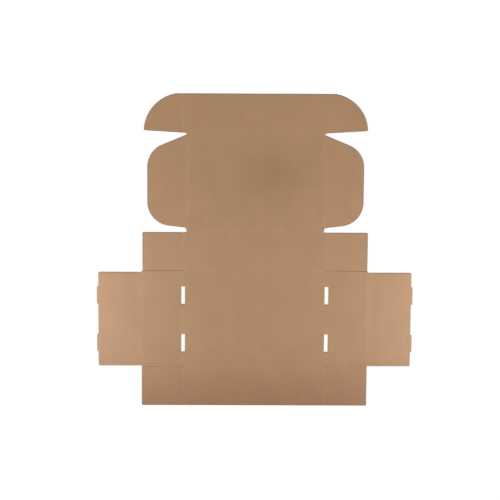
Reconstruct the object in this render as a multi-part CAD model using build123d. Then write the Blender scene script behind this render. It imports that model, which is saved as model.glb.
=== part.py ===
from build123d import *
import math
import os

# Flat blank of a small corrugated mailing box: one die-cut sheet, creased and lying open.
# Millimetres. X runs across the base, Y from the front wall towards the tuck flap and
# Z up out of the sheet. The origin is under the middle of the sheet. The right half of
# the outline is drawn and then mirrored.

# Board
board = 1.5            # thickness of the flat board
lip_width = 0.5        # the knife crushes the upper lip of each cut edge over this width
lip_drop = 0.2         # and by this height
corner_round = 1.0     # outer corners of the walls, dust flaps and tabs

# Panels, measured from crease to crease
base_width = 150.0
base_depth = 101.0
wall_height = 41.0     # front wall and outer side walls
lid_slack = 1.0        # the lid is this much shorter than the base
tuck_slack = 1.5       # the tuck flap is this much shorter than the front wall
lid_inset = 5.0        # the lid's side creases stand this far inside the side walls
ear_slack = 1.5        # the lid's ears are this much shorter than the side walls
back_dust_reach = 41.0
front_dust_reach = 42.0

# Tuck flap, and the notches between it and the lid's ears
lock_rise = 0.6        # the flap's end arcs are struck from this far above its crease
tuck_lift = 3.5        # degrees the flap's lower edges rise outwards
tuck_drop = 0.55       # where they start below the crease
tip_round = 1.2
notch_gap = 1.9        # width of a notch where it crosses the line of the ear's crease
notch_round = 1.1      # its inner end

# Ears
ear_slope = 22.8       # degrees the upper edge falls outwards
ear_lift = 6.6         # degrees the lower edge rises outwards
ear_round = 24.5       # outer corners

# Relief notch between an ear and the back dust flap
relief_drop = 2.8      # its lower edge lies this far below the lid crease
relief_rise = 2.1      # its upper inner corner lies this far above the lid crease
relief_inset = 0.7     # its lower inner corner passes the ear's crease by this much
relief_lean = 1.0      # its upper inner corner stands this far outside the lower one
relief_lower_round = 1.2
relief_upper_round = 1.8

# Rolled side walls, their tabs and the slots in the base that take them
back_relief = 1.8      # the inner wall ends this far short of the base's back crease
front_relief = 1.0     # and this far short of its front crease
corner_cut = 1.5       # the outer wall's ends are cut away over this much of its height
inner_slack = 0.4      # the inner wall is this much lower than the outer one
slot_spacing = 50.0
slot_length = 18.8
tab_clearance = 0.1    # at each end of a tab in its slot
tab_depth = 1.5
tab_bevel = 0.5

# Slits between the side walls and the dust flaps, narrow at the root
slit_root = 0.1
back_slit_mouth = 0.4
front_slit_mouth = 0.2

# Creases: a channel pressed into the underside, and the wide shallow trough in which the
# board gives way above it. Both are V grooves with a round floor.
channel_width = 2.6
channel_slope = 28.0   # degrees of the flanks
channel_round = 1.0
trough_width = 7.0
trough_slope = 2.2
trough_round = 15.0
crease_gap = 1.0       # a crease stops this far short of a slot, slit or notch

overrun = 1.0          # how far cutting shapes run past the sheet

# Levels along Y
back_height = wall_height + board
lid_length = base_depth - lid_slack
tuck_depth = wall_height - tuck_slack
blank_length = wall_height + base_depth + back_height + lid_length + tuck_depth
front_edge = -blank_length / 2
front_fold = front_edge + wall_height
back_fold = front_fold + base_depth
lid_fold = back_fold + back_height
tuck_fold = lid_fold + lid_length
tuck_top = tuck_fold + tuck_depth
wall_back = back_fold - back_relief
wall_front = front_fold + front_relief

# Distances out from the middle along X
side_fold = base_width / 2
dust_fold = side_fold - board
ear_fold = side_fold - lid_inset
ear_edge = ear_fold + wall_height - ear_slack
relief_end = ear_fold - relief_inset
back_dust_edge = dust_fold + back_dust_reach
front_dust_edge = dust_fold + front_dust_reach

# The side wall rolls over the dust flap inside it, so its spine is two boards wide
spine = 2 * board
outer_roll = side_fold + wall_height
inner_roll = outer_roll + spine
inner_edge = inner_roll + wall_height - inner_slack
tab_edge = inner_edge + tab_depth
wall_corner = outer_roll - corner_cut

# A slot reaches from the side crease to the inner face of the rolled wall. The slots and the
# tabs are centred on the inner wall.
slot_width = spine + board / 2
wall_middle = (wall_front + wall_back) / 2
slot_centres = [wall_middle - slot_spacing / 2, wall_middle + slot_spacing / 2]


def both_sides(shape):
    return shape + mirror(shape, about=Plane.YZ)


def slope(degrees):
    return math.tan(math.radians(degrees))


def tuck_lower_edge(x):
    return tuck_fold - tuck_drop + (x - ear_fold) * slope(tuck_lift)


def ear_upper_edge(x):
    return tuck_lower_edge(ear_fold) - notch_gap - (x - ear_fold) * slope(ear_slope)


def tuck_end():
    """The arc at the end of the tuck flap: its start on the top edge, and its tip."""
    rise = tuck_depth - lock_rise
    shoulder = (dust_fold + math.sqrt(tuck_depth**2 - rise**2), tuck_top)
    tip_y = tuck_lower_edge(dust_fold + tuck_depth)
    tip_rise = tip_y - tuck_fold - lock_rise
    tip = (dust_fold + math.sqrt(tuck_depth**2 - tip_rise**2), tip_y)
    return shoulder, tip


def lid_side():
    """Notch, ear, relief notch and back dust flap: each corner with its radius."""
    apex_x = ear_fold - notch_gap / (slope(tuck_lift) + slope(ear_slope))
    relief_top_x = relief_end + relief_lean
    relief_top = lid_fold + relief_rise
    ear_lower_edge = relief_top + (ear_edge - relief_top_x) * slope(ear_lift)
    return [
        (apex_x, tuck_lower_edge(apex_x), notch_round),
        (ear_edge, ear_upper_edge(ear_edge), ear_round),
        (ear_edge, ear_lower_edge, ear_round),
        (relief_top_x, relief_top, relief_upper_round),
        (relief_end, lid_fold - relief_drop, relief_lower_round),
        (back_dust_edge, lid_fold - relief_drop, corner_round),
    ]


def slit(fold, mouth, upper_end, lower_end):
    """In along a slit's upper edge to its root and out again along its lower edge."""
    return [
        (upper_end, fold + mouth / 2, 0),
        (dust_fold, fold + slit_root / 2, 0),
        (dust_fold, fold - slit_root / 2, 0),
        (lower_end, fold - mouth / 2, 0),
    ]


def tab(middle):
    """One tab, from its upper root to its lower root."""
    root = slot_length / 2 - tab_clearance
    tip = root - tab_bevel
    return [
        (inner_edge, middle + root, 0),
        (tab_edge, middle + tip, corner_round),
        (tab_edge, middle - tip, corner_round),
        (inner_edge, middle - root, 0),
    ]


def wall_side():
    """Rolled side wall with its two tabs, between the two slits."""
    lower_slot, upper_slot = slot_centres
    return [
        *slit(back_fold, back_slit_mouth, back_dust_edge, wall_corner),
        (outer_roll, wall_back, 0),
        (inner_edge, wall_back, corner_round),
        *tab(upper_slot),
        *tab(lower_slot),
        (inner_edge, wall_front, corner_round),
        (outer_roll, wall_front, 0),
        *slit(front_fold, front_slit_mouth, wall_corner, front_dust_edge),
    ]


def outline():
    """The whole outline as one face, slits and all, but without the slots."""
    shoulder, tip = tuck_end()
    corners = [*lid_side(), *wall_side(), (front_dust_edge, front_edge, corner_round)]
    points = [tip] + [(x, y) for x, y, radius in corners] + [(0, front_edge)]
    radii = [radius for x, y, radius in corners]
    with BuildSketch() as half:
        with BuildLine():
            Line((0, tuck_top), shoulder)
            RadiusArc(shoulder, tip, tuck_depth)
            FilletPolyline(*points, radius=radii)
            Line((0, front_edge), (0, tuck_top))
        make_face()
        fillet(half.vertices().sort_by_distance(tip)[0], tip_round)
    return both_sides(half.sketch)


def slots():
    """The four tab slots, whose outer edges lie on the side creases."""
    slot_x = side_fold - slot_width / 2
    return [
        Pos(side * slot_x, middle) * Rectangle(slot_width, slot_length)
        for side in (-1, 1)
        for middle in slot_centres
    ]


def side_creases():
    """The crease between base and side wall, broken at the two slots."""
    slot_ends = [middle + end * slot_length / 2 for middle in slot_centres for end in (-1, 1)]
    levels = [front_fold, *slot_ends, back_fold]
    return [
        (side_fold, low + crease_gap, high - crease_gap)
        for low, high in zip(levels[::2], levels[1::2])
    ]


def creases():
    """Start and end of every crease. Where it meets a free edge it runs off the sheet."""
    ear_crease_end = ear_upper_edge(ear_fold + trough_width / 2) - crease_gap
    across = [
        (relief_end - crease_gap, tuck_fold),
        (relief_end - crease_gap, lid_fold),
        (dust_fold - crease_gap, back_fold),
        (dust_fold - crease_gap, front_fold),
    ]
    along = [
        (dust_fold, tuck_fold - tuck_drop - overrun, tuck_top + overrun),
        (ear_fold, lid_fold + relief_rise + crease_gap, ear_crease_end),
        (dust_fold, back_fold + crease_gap, lid_fold - relief_drop + overrun),
        *side_creases(),
        (outer_roll, front_fold, back_fold),
        (inner_roll, front_fold, back_fold),
        (dust_fold, front_edge - overrun, front_fold - crease_gap),
    ]
    lines = [((-x, y), (x, y)) for x, y in across]
    for side in (-1, 1):
        lines += [((side * x, low), (side * x, high)) for x, low, high in along]
    return lines


def groove_section(width, flank_slope, floor_round):
    """A V groove with a round floor, opening along +Y from the face at Y = 0."""
    apex = -width / 2 * slope(flank_slope)
    brim = overrun * slope(flank_slope)
    half_width = width / 2 + overrun
    with BuildSketch() as section:
        with BuildLine():
            FilletPolyline((-half_width, brim), (0, apex), (half_width, brim), radius=floor_round)
            Line((half_width, brim), (-half_width, brim))
        make_face()
    return section.sketch


def press(section, start, end, height, opens):
    """A groove's section carried along a crease, opening up or down from a face."""
    rule = Edge.make_line((*start, height), (*end, height))
    across = (rule % 0).cross(Vector(0, 0, -opens))
    return extrude(Plane(origin=rule @ 0, x_dir=across, z_dir=rule % 0) * section, rule.length)


def flattened_box():
    sheet = extrude(outline() - slots(), board)
    top = sheet.faces().sort_by(Axis.Z)[-1]
    sheet = chamfer(top.edges(), length=lip_width, length2=lip_drop, reference=top)
    channel = groove_section(channel_width, channel_slope, channel_round)
    trough = groove_section(trough_width, trough_slope, trough_round)
    for start, end in creases():
        sheet -= press(channel, start, end, 0, opens=-1)
        sheet -= press(trough, start, end, board, opens=1)
    return sheet


os.makedirs("parts", exist_ok=True)
blank = flattened_box()
export_step(blank, "parts/flattened_box.step")
size = blank.bounding_box().size
print(f"flattened_box {size.X:.2f} x {size.Y:.2f} x {size.Z:.2f} mm")
print(f"solids {len(blank.solids())}, faces {len(blank.faces())}, volume {blank.volume:.1f} mm3")
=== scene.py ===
# %% Load the frame
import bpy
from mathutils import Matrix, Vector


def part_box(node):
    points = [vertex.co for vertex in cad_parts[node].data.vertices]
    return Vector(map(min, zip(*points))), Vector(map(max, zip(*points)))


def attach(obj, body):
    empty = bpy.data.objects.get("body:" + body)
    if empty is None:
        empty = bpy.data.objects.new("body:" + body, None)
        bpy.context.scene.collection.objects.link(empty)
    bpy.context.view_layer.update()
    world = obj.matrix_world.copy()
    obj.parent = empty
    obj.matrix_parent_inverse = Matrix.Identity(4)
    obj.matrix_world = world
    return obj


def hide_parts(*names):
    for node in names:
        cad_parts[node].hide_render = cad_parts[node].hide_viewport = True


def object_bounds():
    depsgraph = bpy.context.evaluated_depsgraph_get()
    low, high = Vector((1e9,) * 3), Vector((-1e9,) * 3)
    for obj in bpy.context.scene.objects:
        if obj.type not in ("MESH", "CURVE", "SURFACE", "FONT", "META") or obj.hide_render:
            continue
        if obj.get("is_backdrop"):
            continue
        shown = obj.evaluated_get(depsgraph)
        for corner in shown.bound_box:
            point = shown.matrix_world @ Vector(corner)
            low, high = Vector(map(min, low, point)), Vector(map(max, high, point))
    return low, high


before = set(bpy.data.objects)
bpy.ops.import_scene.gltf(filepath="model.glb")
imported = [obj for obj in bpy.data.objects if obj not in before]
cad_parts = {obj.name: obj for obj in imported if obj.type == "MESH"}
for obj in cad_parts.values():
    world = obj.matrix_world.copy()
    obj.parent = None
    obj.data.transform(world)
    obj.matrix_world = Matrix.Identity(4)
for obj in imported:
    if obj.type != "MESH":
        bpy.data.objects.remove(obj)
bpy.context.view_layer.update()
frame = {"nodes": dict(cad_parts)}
print("packed nodes:", ", ".join(frame["nodes"]))

import math

import bmesh
import bpy
from mathutils import Matrix, Vector
from mathutils.bvhtree import BVHTree

# %% [markdown]
# ## What this scene is
# The object is the blank of a small mailing box: one sheet of brown corrugated board, cut and
# creased by a die and lying open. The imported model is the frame: it is in metres, with X across
# the base, Y from the front wall up to the tuck flap and Z out of the sheet. The sheet's outline,
# creases, slots and slits are all in the frame's one solid, so nothing here moves them. What the
# solid leaves out is what board is made of: two flat papers with a wavy one glued between.

# %% The size of the board
MM = 0.001
low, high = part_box("flattened_box")
board = high.z - low.z
print(f"sheet {(high.x - low.x) / MM:.1f} x {(high.y - low.y) / MM:.1f} x {board / MM:.2f} mm")

# %% [markdown]
# ## The two skins of the sheet
# A die-cut sheet has a face and a back, joined all round by cut walls. We could draw the outline
# again, but the frame has it already, with the crushed lips and the creases. So we copy the
# solid's mesh, merge its loose triangles and melt the flat ones together. Then the faces above
# the middle of the board are its upper skin and those below are its lower skin. The cut walls
# between them are left out, because the real board has no wall there, only paper ends.

# %% Merge a copy of the solid and take one skin of it
same_place = 0.001 * MM
nearly_flat = math.radians(0.3)
ABOVE = 1
BELOW = -1


def merged_solid():
    solid = bmesh.new()
    solid.from_mesh(frame["nodes"]["flattened_box"].data)
    bmesh.ops.remove_doubles(solid, verts=solid.verts, dist=same_place)
    bmesh.ops.dissolve_limit(
        solid,
        angle_limit=nearly_flat,
        verts=solid.verts,
        edges=solid.edges,
    )
    return solid


def skin(side):
    paper = merged_solid()
    middle = board / 2
    others = [
        face for face in paper.faces
        if any(side * (vert.co.z - middle) <= 0 for vert in face.verts)
    ]
    bmesh.ops.delete(paper, geom=others, context="FACES")
    return paper


for name, side in (("upper", ABOVE), ("lower", BELOW)):
    paper = skin(side)
    square_cm = sum(face.calc_area() for face in paper.faces) / (10 * MM) ** 2
    print(f"{name} skin: {len(paper.faces)} faces, {square_cm:.0f} square cm")
    paper.free()

# %% [markdown]
# ## Strips that follow the flutes
# The waves of the inner paper run along Y, from the front wall to the tuck flap, as the faint
# streaks in the board show. A wave needs points across it, and the skins have only big flat
# faces. Cutting them by planes at an even step along X puts a row of points wherever a strip
# meets the outline or a crease, and keeps both exactly where they are. A cut that passes very
# near a corner leaves two points almost in one place, so such pairs are merged afterwards.
# Faces that are left with more than four corners are split into triangles, because their
# corners don't stay in one plane once they are moved onto a wave.

# %% Cut a skin into strips along Y
flute_pitch = 3.3 * MM
near = 0.005 * MM


def merge_near_points(paper):
    bmesh.ops.remove_doubles(paper, verts=paper.verts, dist=near)


def cut_into_strips(paper, width):
    count = math.ceil(high.x / width)
    for step in range(1 - count, count):
        bmesh.ops.bisect_plane(
            paper,
            geom=paper.verts[:] + paper.edges[:] + paper.faces[:],
            dist=same_place,
            plane_co=(step * width, 0, 0),
            plane_no=(1, 0, 0),
        )
    merge_near_points(paper)
    many_sided = [face for face in paper.faces if len(face.verts) > 4]
    bmesh.ops.triangulate(paper, faces=many_sided, ngon_method="BEAUTY")


def wave(x):
    """1 where the flute touches the upper paper, -1 where it touches the lower one."""
    return math.cos(2 * math.pi * x / flute_pitch)


print(f"flutes across the sheet: {(high.x - low.x) / flute_pitch:.0f}")

# %% [markdown]
# ## Marks for the finishes
# Two things about a point can't be seen from where it is: that it lies on a cut edge, where the
# knife crushed the paper and the colour gets a painted dark edge line that stands in for the
# shade on the lip and the contact shadow, and that it lies in a crease, where the steel rule
# polished it. We write both on the points as numbers, for the materials to read later. The knife
# comes from above, so only the upper paper has crushed lips and the painted edge shade: the lower
# one is flat up to its edge. The slits beside the dust flaps are only parted, not opened, so
# their lips get less of the painted edge shade, and the front ones get none.

# %% Note which points lie on a cut edge or in a crease
crease_depth = 0.12 * MM
slit_root = 73 * MM
slit_reach = 0.3 * MM
# Where each pair of slits lies along Y, and how much painted edge shade its lips get
BACK_SLITS = (-20 * MM, 0.16)
FRONT_SLITS = (-121 * MM, 0.0)


# The lip number is how much painted edge shade a boundary point gets. The dark line stands in for
# the shade on the lip and the contact shadow.
def edge_shade_weight(place):
    for level, slit_shade in (BACK_SLITS, FRONT_SLITS):
        if abs(place.y - level) < slit_reach and abs(place.x) > slit_root:
            return slit_shade
    return 1.0


def mark_edges_and_creases(paper, side):
    lip = paper.verts.layers.float.new("lip")
    crease = paper.verts.layers.float.new("crease")
    face_height = board if side == ABOVE else 0.0
    for vert in paper.verts:
        if vert.is_boundary:
            vert[lip] = edge_shade_weight(vert.co) if side == ABOVE else 0.0
        else:
            depth = min(abs(face_height - vert.co.z), crease_depth)
            vert[crease] = depth / crease_depth


# %% [markdown]
# A parted edge isn't pressed down as far as an open one either, so the lips of the slits are
# lifted nearly level with the face again.

# %% Lift the lips of the slits
slit_lift = 0.15 * MM


def lift_slit_lips(paper):
    lip = paper.verts.layers.float["lip"]
    for vert in paper.verts:
        if vert.is_boundary:
            vert.co.z += slit_lift * (1 - vert[lip])


# %% [markdown]
# ## Giving paper its thickness
# Each of the three papers is a thin closed shell. Solidify would push the cut ends out at a
# slant where the skin slopes, while a knife leaves them upright. So the faces are extruded, the
# originals are kept as the other side, and the new ones are moved straight up or down. The
# nearly upright faces of a liner are then its cut ends, and get a finish of their own.

# %% Thicken an open paper straight up or down
KRAFT, CUT, MEDIUM = range(3)
upright_limit = 0.3


def thicken(paper, rise, finish):
    faces = paper.faces[:]
    grown = bmesh.ops.extrude_face_region(paper, geom=faces, use_keep_orig=True)["geom"]
    moved = [item for item in grown if isinstance(item, bmesh.types.BMVert)]
    bmesh.ops.translate(paper, verts=moved, vec=(0, 0, rise))
    bmesh.ops.recalc_face_normals(paper, faces=paper.faces)
    for face in paper.faces:
        upright = abs(face.normal.z) < upright_limit and finish == KRAFT
        face.material_index = CUT if upright else finish
        face.smooth = True


# %% [markdown]
# ## The liners
# The liners are the two flat papers. Between two waves nothing holds a liner up, and the glue
# draws it in by a few hundredths of a millimetre as it dries. Board makers call that
# washboarding, and it gives the face its faint even stripes. Four points to a wave are enough.

# %% Make the upper and lower liners
liner = 0.2 * MM
washboard = 0.02 * MM
liner_points = 4


def liner_paper(side):
    paper = skin(side)
    cut_into_strips(paper, flute_pitch / liner_points)
    mark_edges_and_creases(paper, side)
    if side == ABOVE:
        lift_slit_lips(paper)
    for vert in paper.verts:
        vert.co.z -= side * washboard * (1 - side * wave(vert.co.x)) / 2
    thicken(paper, -side * liner, KRAFT)
    return paper


upper_liner = liner_paper(ABOVE)
lower_liner = liner_paper(BELOW)
print(f"liner faces: {len(upper_liner.faces)} above, {len(lower_liner.faces)} below")

# %% [markdown]
# ## The fluted paper
# The inner paper swings between the liners. It is made from the upper skin too, so that it ends
# on the same outline, and each of its points is lowered onto the wave. The room for the wave is
# measured from the lower skin at that spot, so the flutes are crushed flat where the board is
# creased or cut, as in real board. Where a crease ends in a small step, the two points of the
# step can land in one place on the wave, so they are merged before the paper gets its thickness.

# %% Make the fluted paper between the liners
fluted = 0.17 * MM
flute_points = 8
lower_skin = skin(BELOW)
underside = BVHTree.FromBMesh(lower_skin)
lower_skin.free()


def underside_height(x, y):
    hit = underside.ray_cast(Vector((x, y, -board)), Vector((0, 0, 1)))[0]
    if hit is None:
        hit = underside.find_nearest(Vector((x, y, 0)))[0]
    return hit.z


def fluted_paper():
    paper = skin(ABOVE)
    cut_into_strips(paper, flute_pitch / flute_points)
    mark_edges_and_creases(paper, ABOVE)
    lift_slit_lips(paper)
    for vert in paper.verts:
        ceiling = vert.co.z - washboard - liner
        floor_height = underside_height(vert.co.x, vert.co.y) + washboard + liner
        swing = (ceiling - floor_height - fluted) / 2
        vert.co.z = (ceiling + floor_height - fluted) / 2 + swing * wave(vert.co.x)
    merge_near_points(paper)
    thicken(paper, fluted, MEDIUM)
    return paper


flutes = fluted_paper()
print(f"fluted paper faces: {len(flutes.faces)}")

# %% [markdown]
# ## One sheet
# Glued board is one sheet, so the three papers become one mesh on one object. It stands for the
# imported node, which is hidden, and rides on the only body there is.

# %% Join the three papers and hand the sheet to the frame
def joined(papers, name):
    whole = bmesh.new()
    for paper in papers:
        loose = bpy.data.meshes.new(name)
        paper.to_mesh(loose)
        paper.free()
        whole.from_mesh(loose)
        bpy.data.meshes.remove(loose)
    mesh = bpy.data.meshes.new(name)
    whole.to_mesh(mesh)
    whole.free()
    piece = bpy.data.objects.new(name, mesh)
    bpy.context.scene.collection.objects.link(piece)
    return piece


sheet = joined([upper_liner, lower_liner, flutes], "corrugated_sheet")
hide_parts("flattened_box")
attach(sheet, "root")
sheet.data.calc_loop_triangles()
print(f"sheet triangles: {len(sheet.data.loop_triangles)}")

# %% [markdown]
# ## Even shading on flat paper
# The long flat strips meet the short slopes of the creases. A smooth normal that is the plain
# average of both would tilt the light far into the flat part. Weighting by face area keeps the
# flats flat and still rounds the creases, and angles over 40 degrees stay sharp.

# %% Weight the normals by area and keep the cut edges sharp
sharp_over = math.radians(40)
sheet.data.set_sharp_from_angle(angle=sharp_over)
weighting = sheet.modifiers.new("even_flats", "WEIGHTED_NORMAL")
weighting.mode = "FACE_AREA"
weighting.keep_sharp = True
print("sharp edges:", sum(edge.use_edge_sharp for edge in sheet.data.edges))

# %% [markdown]
# ## Building a finish
# Each finish is a small tree of nodes. Most of them are the same few moves: a noise pattern at
# some scale, and a multiplication that lets it lighten or darken the colour by a few percent.
# These helpers write the moves once. All patterns read Object coordinates, which are metres here.
# A Mapping node of the texture kind divides them by a size, so noise of scale one then has
# features about that long. The Mix node keeps its colour sockets at fixed places in its lists.

# %% Helpers that build finishes out of nodes
AMOUNT, FIRST_COLOUR, SECOND_COLOUR = 0, 6, 7
MIXED_COLOUR = 2


class Finish:
    """One material, with the colour that its nodes have built up so far."""

    def __init__(self, name, colour, roughness):
        self.material = bpy.data.materials.new(name)
        self.material.use_nodes = True
        self.material.diffuse_color = (*colour, 1)
        self.tree = self.material.node_tree
        self.shader = self.tree.nodes["Principled BSDF"]
        self.shader.inputs["Roughness"].default_value = roughness
        self.shader.inputs["Base Color"].default_value = (*colour, 1)
        self.place = self.add("ShaderNodeTexCoord").outputs["Object"]
        self.colour = (*colour, 1)

    def add(self, kind, **settings):
        node = self.tree.nodes.new(kind)
        for key, value in settings.items():
            setattr(node, key, value)
        return node

    def feed(self, socket, value):
        """Give a socket a fixed value, or link it to another node's socket."""
        if isinstance(value, bpy.types.NodeSocket):
            self.tree.links.new(value, socket)
        else:
            socket.default_value = value

    def reckon(self, operation, first, second):
        """One step of arithmetic on two numbers or sockets."""
        node = self.add("ShaderNodeMath", operation=operation)
        self.feed(node.inputs[0], first)
        self.feed(node.inputs[1], second)
        return node.outputs["Value"]

    def mapped(self, move=(0, 0, 0), turn=0.0, size=(1, 1, 1)):
        """Object coordinates moved, turned about Z and divided by a size in metres."""
        node = self.add("ShaderNodeMapping", vector_type="TEXTURE")
        self.feed(node.inputs["Vector"], self.place)
        self.feed(node.inputs["Location"], move)
        self.feed(node.inputs["Rotation"], (0, 0, math.radians(turn)))
        self.feed(node.inputs["Scale"], size)
        return node.outputs["Vector"]

    def noise(self, vector, detail):
        """Cloudy noise from 0 to 1, about one unit across."""
        node = self.add("ShaderNodeTexNoise")
        self.feed(node.inputs["Vector"], vector)
        self.feed(node.inputs["Scale"], 1.0)
        self.feed(node.inputs["Detail"], detail)
        self.feed(node.inputs["Roughness"], 0.5)
        return node.outputs["Fac"]

    def distance(self, vector):
        """How far a place is from the middle of its coordinates."""
        node = self.add("ShaderNodeVectorMath", operation="LENGTH")
        self.feed(node.inputs[0], vector)
        return node.outputs["Value"]

    def spread(self, value, source, target):
        """Carry one range of numbers smoothly onto another."""
        node = self.add("ShaderNodeMapRange", interpolation_type="SMOOTHSTEP")
        self.feed(node.inputs["Value"], value)
        self.feed(node.inputs["From Min"], source[0])
        self.feed(node.inputs["From Max"], source[1])
        self.feed(node.inputs["To Min"], target[0])
        self.feed(node.inputs["To Max"], target[1])
        return node.outputs["Result"]

    def mark(self, name):
        """A number that was written on the mesh's points."""
        return self.add("ShaderNodeAttribute", attribute_name=name).outputs["Fac"]

    def tone(self, factor):
        """Multiply the colour so far by a number that varies over the surface."""
        node = self.add("ShaderNodeVectorMath", operation="SCALE")
        start = self.colour if isinstance(self.colour, bpy.types.NodeSocket) else self.colour[:3]
        self.feed(node.inputs[0], start)
        self.feed(node.inputs["Scale"], factor)
        self.colour = node.outputs["Vector"]

    def tint(self, colour, amount):
        """Mix another colour over the colour so far."""
        node = self.add("ShaderNodeMix", data_type="RGBA")
        self.feed(node.inputs[AMOUNT], amount)
        self.feed(node.inputs[FIRST_COLOUR], self.colour)
        self.feed(node.inputs[SECOND_COLOUR], (*colour, 1))
        self.colour = node.outputs[MIXED_COLOUR]

    def raise_by(self, height, distance):
        """Bump the surface by a pattern that is this many metres high."""
        node = self.add("ShaderNodeBump")
        self.feed(node.inputs["Height"], height)
        self.feed(node.inputs["Distance"], distance)
        self.feed(self.shader.inputs["Normal"], node.outputs["Normal"])

    def done(self):
        self.feed(self.shader.inputs["Base Color"], self.colour)
        print(f"{self.material.name}: {len(self.tree.nodes)} nodes")
        return self.material


# %% [markdown]
# ## Kraft paper
# The liners are brown kraft: long unbleached fibres, pressed smooth. From afar it is an even
# warm brown. Nearer, it has clouds a few centimetres wide where the pulp settled unevenly,
# finer clouds, and streaks that follow the flutes. All of these vary the colour by only a few
# percent, so each is one gentle tone. One image of paper would be simpler, but it would have to
# be huge to hold both the clouds and the fibres.

# %% Kraft paper for the liners
def mm(*lengths):
    """Lengths in millimetres, as a tuple in metres."""
    return tuple(length * MM for length in lengths)


kraft_brown = (0.406, 0.23, 0.1147)
kraft = Finish("kraft_paper", kraft_brown, roughness=0.7)
clouds = kraft.noise(kraft.mapped(size=mm(24, 30, 24)), detail=3.0)
kraft.tone(kraft.spread(clouds, (0.3, 0.7), (0.972, 1.028)))
formation = kraft.noise(kraft.mapped(size=mm(2.6, 3.4, 2.6)), detail=4.0)
kraft.tone(kraft.spread(formation, (0.25, 0.75), (0.985, 1.015)))
streaks = kraft.noise(kraft.mapped(size=mm(2.2, 160, 2.2)), detail=1.0)
kraft.tone(kraft.spread(streaks, (0.25, 0.75), (0.985, 1.015)))

# %% [markdown]
# Fibres are noise stretched far along one way. Three layers turned against each other look
# like fibres thrown down in all directions, with more of them along the paper machine's run.
# A cell pattern whose cells are dark only at their very middles makes a few specks of bark.

# %% Fibres and bark specks
fibre_width = 0.16
fibre_layers = []
for shift, turn, length in ((0, 4, 3.2), (7, 58, 2.4), (13, -49, 2.6)):
    stretched = kraft.mapped(
        move=mm(shift, 0, 0),
        turn=turn,
        size=mm(fibre_width, length, fibre_width),
    )
    fibre_layers.append(kraft.noise(stretched, detail=1.0))
two_layers = kraft.reckon("ADD", fibre_layers[0], fibre_layers[1])
three_layers = kraft.reckon("ADD", two_layers, fibre_layers[2])
fibres = kraft.reckon("DIVIDE", three_layers, 3.0)
kraft.tone(kraft.spread(fibres, (0.36, 0.64), (0.93, 1.07)))
specks = kraft.add("ShaderNodeTexVoronoi", feature="F1", distance="EUCLIDEAN")
kraft.feed(specks.inputs["Vector"], kraft.mapped(turn=31, size=mm(5, 6.5, 5)))
kraft.feed(specks.inputs["Scale"], 1.0)
kraft.tone(kraft.spread(specks.outputs["Distance"], (0.02, 0.055), (0.72, 1.0)))

# %% [markdown]
# ## Marks of making, and painted edge shade
# The knife presses the rim of the sheet down. A dark grey line is painted along the rim in
# patches. It is painted shade that stands in for the shade on the pressed lip and the contact
# shadow at the edge. The floor of a crease is polished by the rule, so it is a little lighter and
# less rough.

# %% The painted edge shade and the creases
# Painted shade: a dark grey line along the cut edges, broken into patches by noise.
painted_edge_shade = (0.11, 0.09, 0.07)
rim = kraft.spread(kraft.mark("lip"), (0.0, 0.35), (0.0, 1.0))
edge_shade_breakup = kraft.noise(kraft.mapped(size=mm(0.7, 0.7, 0.7)), detail=3.0)
patches = kraft.spread(edge_shade_breakup, (0.32, 0.62), (0.45, 1.0))
kraft.tint(painted_edge_shade, kraft.reckon("MULTIPLY", rim, patches))
in_crease = kraft.mark("crease")
kraft.tone(kraft.spread(in_crease, (0.0, 1.0), (1.0, 1.02)))
matt = kraft.spread(formation, (0.3, 0.7), (0.66, 0.76))
polish = kraft.spread(in_crease, (0.0, 1.0), (0.0, 0.08))
kraft.feed(kraft.shader.inputs["Roughness"], kraft.reckon("SUBTRACT", matt, polish))

# %% [markdown]
# The lid has a soft dark patch right of its middle, and it is a little darker all round that
# patch. Both are painted shade: the patch is the shade of the camera above the glossy lid, and
# the wider oval is a fainter painted shade around it. Both are ovals that fade with distance. The
# clouds bend the patch's distance, so that its edge isn't a clean oval. The coordinates are
# centred on the face and are only a millimetre deep, so neither shows on the underside.

# %% The painted camera shade on the lid
# Painted shade: a dark oval that stands in for the camera's shade on the lid.
painted_camera_shade = (0.325, 0.172, 0.0745)
patch = kraft.distance(kraft.mapped(move=(*mm(21, 82), board), size=mm(46, 29, 1)))
bent = kraft.reckon("ADD", patch, kraft.spread(clouds, (0.3, 0.7), (-0.1, 0.1)))
kraft.tint(painted_camera_shade, kraft.spread(bent, (0.0, 1.15), (0.6, 0.0)))
# Painted shade: a wider, fainter darkening around that oval.
painted_lid_shade = kraft.distance(kraft.mapped(move=(*mm(-8, 72), board), size=mm(85, 62, 1)))
kraft.tone(kraft.spread(painted_lid_shade, (0.2, 1.25), (0.945, 1.0)))
kraft.shader.inputs["Specular IOR Level"].default_value = 0.4
kraft.raise_by(fibres, 0.03 * MM)
kraft_paper = kraft.done()

# %% [markdown]
# ## Cut ends and the fluted paper
# Where the knife went through, the fibres stand open and catch dust, so the ends are darker and
# greyer. The fluted paper is recycled pulp, greyer than the liners and rougher.

# %% Cut paper ends and the fluted medium
cut = Finish("cut_paper_ends", (0.27, 0.18, 0.115), roughness=0.95)
frayed = cut.noise(cut.mapped(size=mm(0.5, 0.5, 0.12)), detail=3.0)
cut.tone(cut.spread(frayed, (0.3, 0.7), (0.8, 1.2)))
cut.raise_by(frayed, 0.04 * MM)
cut_ends = cut.done()

medium = Finish("fluted_medium", (0.33, 0.215, 0.13), roughness=0.93)
pulp = medium.noise(medium.mapped(size=mm(0.8, 1.4, 0.8)), detail=4.0)
medium.tone(medium.spread(pulp, (0.3, 0.7), (0.88, 1.12)))
medium.raise_by(pulp, 0.03 * MM)
fluted_medium = medium.done()

for finish in (kraft_paper, cut_ends, fluted_medium):
    sheet.data.materials.append(finish)

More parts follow.
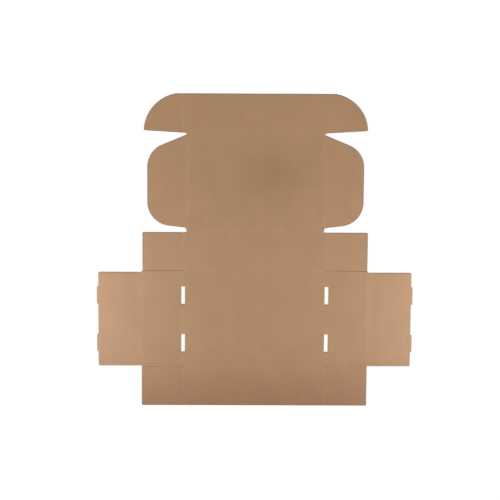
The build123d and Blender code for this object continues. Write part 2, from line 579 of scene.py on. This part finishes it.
# %% [markdown]
# ## What the camera sees directly
# The photograph has a pure white ground. More light would bleach the board. So the floor glows
# and the world is white, but only for rays from the camera, from a reflection or through glass,
# and the light that falls on the board stays as it is. The Light Path node tells the rays apart.

# %% A number that is 1 for what is seen directly
def seen_directly(tree):
    path = tree.nodes.new("ShaderNodeLightPath").outputs
    seen = path["Is Camera Ray"]
    for ray in ("Is Glossy Ray", "Is Transmission Ray"):
        either = tree.nodes.new("ShaderNodeMath")
        either.operation = "MAXIMUM"
        tree.links.new(seen, either.inputs[0])
        tree.links.new(path[ray], either.inputs[1])
        seen = either.outputs["Value"]
    return seen


# %% [markdown]
# ## Floor
# The floor is one large plane, level with the underside. Its glow is only part of what the
# camera sees of it: the rest is ordinary pale paint, which still shows the sheet's shadow.

# %% A pale floor that looks white to the camera
floor_reach = 4.0
floor_glow = 0.68


def floor_plane():
    plane = bmesh.new()
    bmesh.ops.create_grid(plane, x_segments=1, y_segments=1, size=floor_reach)
    mesh = bpy.data.meshes.new("studio_floor")
    plane.to_mesh(mesh)
    plane.free()
    piece = bpy.data.objects.new("studio_floor", mesh)
    bpy.context.scene.collection.objects.link(piece)
    return piece


floor = floor_plane()
floor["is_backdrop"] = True
paint = Finish("pale_floor", (0.8, 0.8, 0.8), roughness=0.9)
paint.shader.inputs["Emission Color"].default_value = (0.95, 1.0, 1.0, 1)
glow = paint.reckon("MULTIPLY", seen_directly(paint.tree), floor_glow)
paint.feed(paint.shader.inputs["Emission Strength"], glow)
floor.data.materials.append(paint.done())

# %% [markdown]
# ## Light
# The photograph was lit softly from all round. The rolled walls at the two sides are brighter,
# and each crease along Y is light on its inner side and dark on its outer side. The front wall
# is darker and warmer. So an even, warm world gives about half of the light, two low wide lamps
# stand at the sides, and a large cooler box with a grid hangs over all but the front wall, which
# lies in the soft edge of its light.

# %% World, even and warm
world_level = 0.6
world_tint = (1.0, 0.845, 0.83)


def studio_world():
    world = bpy.data.worlds.new("studio")
    world.use_nodes = True
    tree = world.node_tree
    colour = tree.nodes.new("ShaderNodeMix")
    colour.data_type = "RGBA"
    tree.links.new(seen_directly(tree), colour.inputs[AMOUNT])
    colour.inputs[FIRST_COLOUR].default_value = (*(world_level * part for part in world_tint), 1)
    colour.inputs[SECOND_COLOUR].default_value = (1, 1, 1, 1)
    tree.links.new(colour.outputs[MIXED_COLOUR], tree.nodes["Background"].inputs["Color"])
    bpy.context.scene.world = world


studio_world()
print(f"world level: {world_level}")

# %% [markdown]
# The lamps are for the sheet alone: a floor that they lit as well would be white far over and
# would lose its contact shadow. Light linking says which objects a lamp reaches.

# %% Lamps that light only the sheet
lit = bpy.data.collections.new("lit_by_lamps")
lit.objects.link(sheet)


def soft_lamp(name, place, aim, size, power, tint, spread=180.0):
    data = bpy.data.lights.new(name, "AREA")
    data.shape = "RECTANGLE"
    data.size, data.size_y = size
    data.energy = power
    data.color = tint
    data.spread = math.radians(spread)
    lamp = bpy.data.objects.new(name, data)
    lamp.location = place
    lamp.rotation_euler = (Vector(aim) - Vector(place)).to_track_quat("-Z", "Y").to_euler()
    lamp.visible_camera = False
    lamp.light_linking.receiver_collection = lit
    bpy.context.scene.collection.objects.link(lamp)
    print(f"{name}: {power} W")


for name, side, power in (("side_lamp_left", -1, 0.304), ("side_lamp_right", 1, 0.284)):
    soft_lamp(
        name,
        place=mm(side * 240, -68, 70),
        aim=mm(0, -68, 0),
        size=mm(220, 120),
        power=power,
        tint=(0.634, 0.727, 1.0),
    )
soft_lamp(
    "grid_box",
    place=mm(0, 58, 600),
    aim=mm(0, 58, 0),
    size=mm(457, 391),
    power=0.171,
    tint=(0.73, 1.0, 0.965),
    spread=10.4,
)

# %% [markdown]
# ## Camera
# The photograph was taken from almost straight above, a little from the lid's side and turned
# by less than half a degree. The camera's place, aim and turn were worked out from the sheet's
# corners and slots in the photograph.

# %% Camera at the photograph's viewing angle
lens = bpy.data.cameras.new("camera")
lens.lens = 180
lens.sensor_width = 36
lens.clip_end = 20
place = Vector((-41.03, 541.11, 2484.41)) * MM
aim = Vector((-5.23, 1.73, 1.5)) * MM
roll = 0.006975
forward = (aim - place).normalized()
right = forward.cross(Vector((0, 1, 0))).normalized()
up = right.cross(forward)
turned_right = math.cos(roll) * right + math.sin(roll) * up
turned_up = math.cos(roll) * up - math.sin(roll) * right
turn = Matrix((turned_right, turned_up, -forward)).transposed()
camera = bpy.data.objects.new("camera", lens)
camera.matrix_world = Matrix.Translation(place) @ turn.to_4x4()
bpy.context.scene.collection.objects.link(camera)
bpy.context.scene.camera = camera
bpy.context.scene.view_settings.view_transform = "Standard"
print(f"camera looks down at {math.degrees(math.asin(-forward.z)):.1f} degrees")

# %% [markdown]
# ## Sizes
# The sheet must not be larger than the imported solid, so its shown thickness is printed beside
# the solid's.

# %% Print the shown thickness beside the solid's
shown_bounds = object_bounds()
shown_thickness = shown_bounds[1][2] - shown_bounds[0][2]
print(f"shown thickness {shown_thickness / MM:.2f} mm of {board / MM:.2f} mm")
